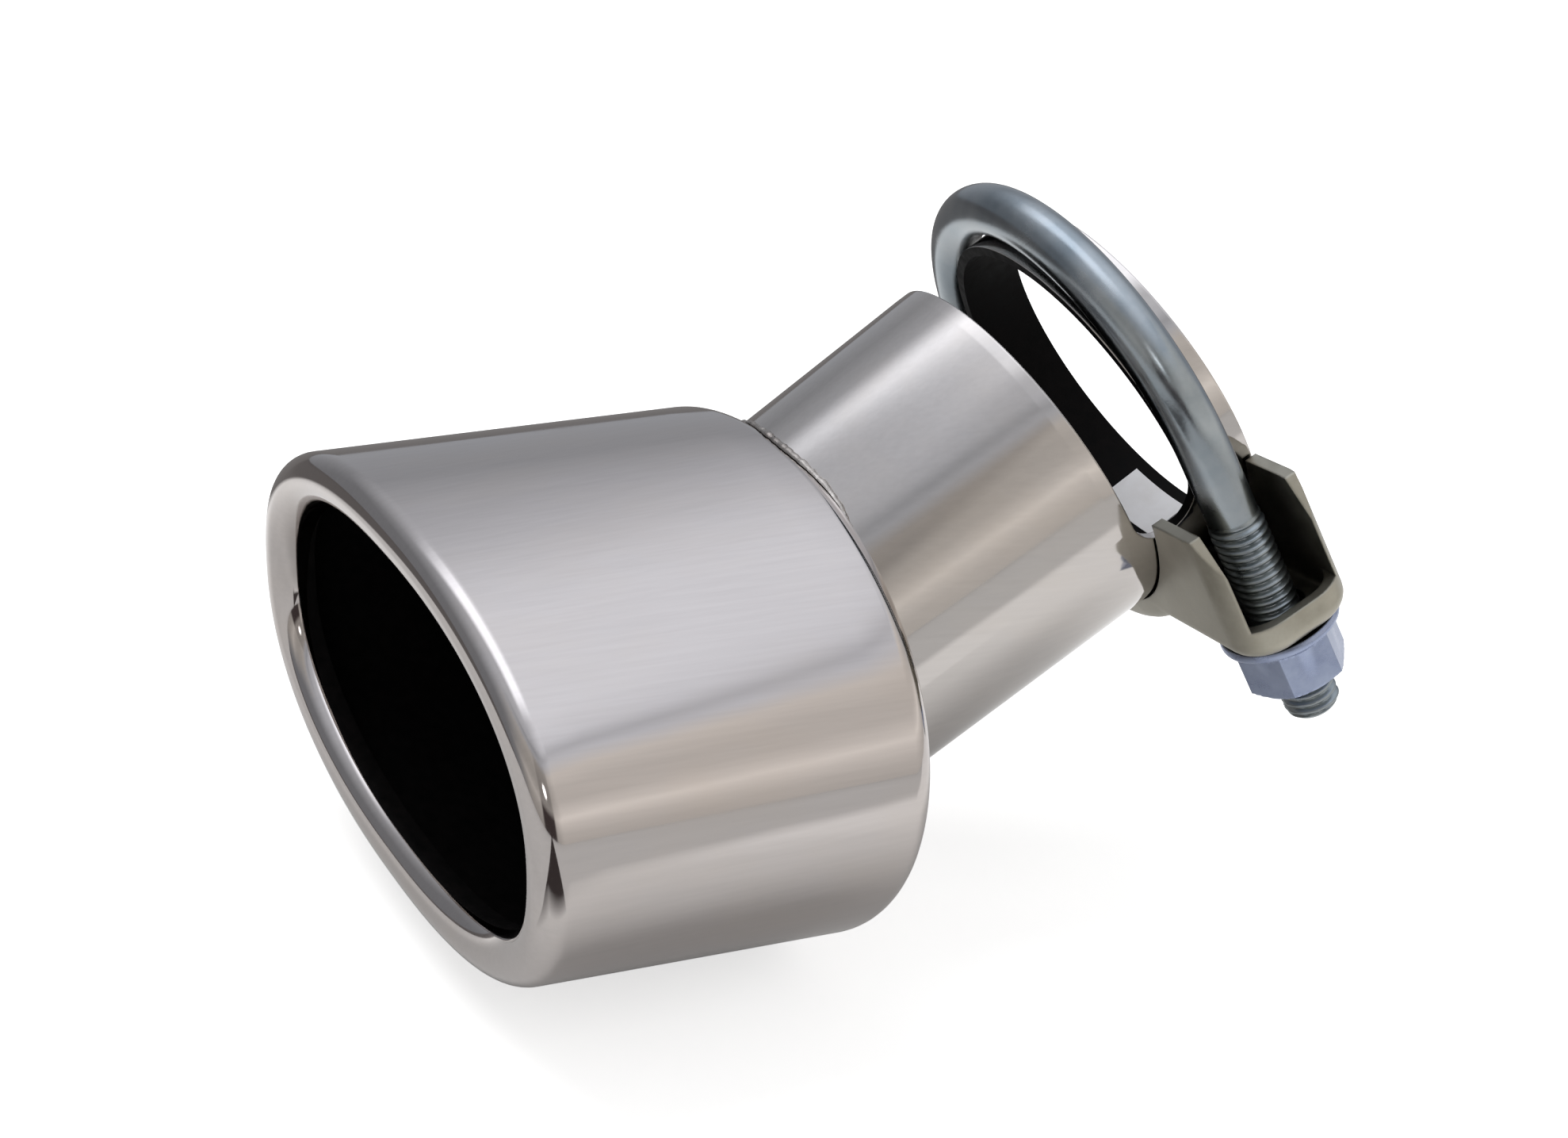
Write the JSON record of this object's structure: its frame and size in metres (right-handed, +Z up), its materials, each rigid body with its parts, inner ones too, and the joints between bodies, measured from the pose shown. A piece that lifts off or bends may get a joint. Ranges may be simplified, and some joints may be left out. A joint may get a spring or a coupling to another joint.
{
  "type": "exhaust tip",
  "caption": "Oval polished exhaust tip with a rolled-in lip, an angled inlet tube with a cross slot, and a U-bolt clamp with saddle and flange nuts.",
  "frame": {"origin": "middle of the inlet tube's mouth, on the tube's axis", "axes": "+Z up as fitted to a car, -Y out of the tip's mouth along the shell's axis, X across; the inlet tube's axis rises from the shell in the YZ plane"},
  "size_m": [0.097, 0.136, 0.0998],
  "materials": {
    "polished_steel": "polished stainless steel",
    "tube_steel": "polished stainless steel",
    "weld": "brushed weld bead",
    "bright_zinc": "bright zinc plate",
    "yellow_zinc": "yellowish zinc plate",
    "blue_zinc": "bluish zinc plate",
    "label": "plain white sticker"
  },
  "bodies": {
    "root": {"tip_shell": "polished_steel", "inlet_tube": "tube_steel", "weld_bead": "weld", "u_bolt": "bright_zinc", "saddle": "yellow_zinc", "flange_nut_left": "blue_zinc", "flange_nut_right": "blue_zinc", "size_label": "label"}
  },
  "joints": []
}
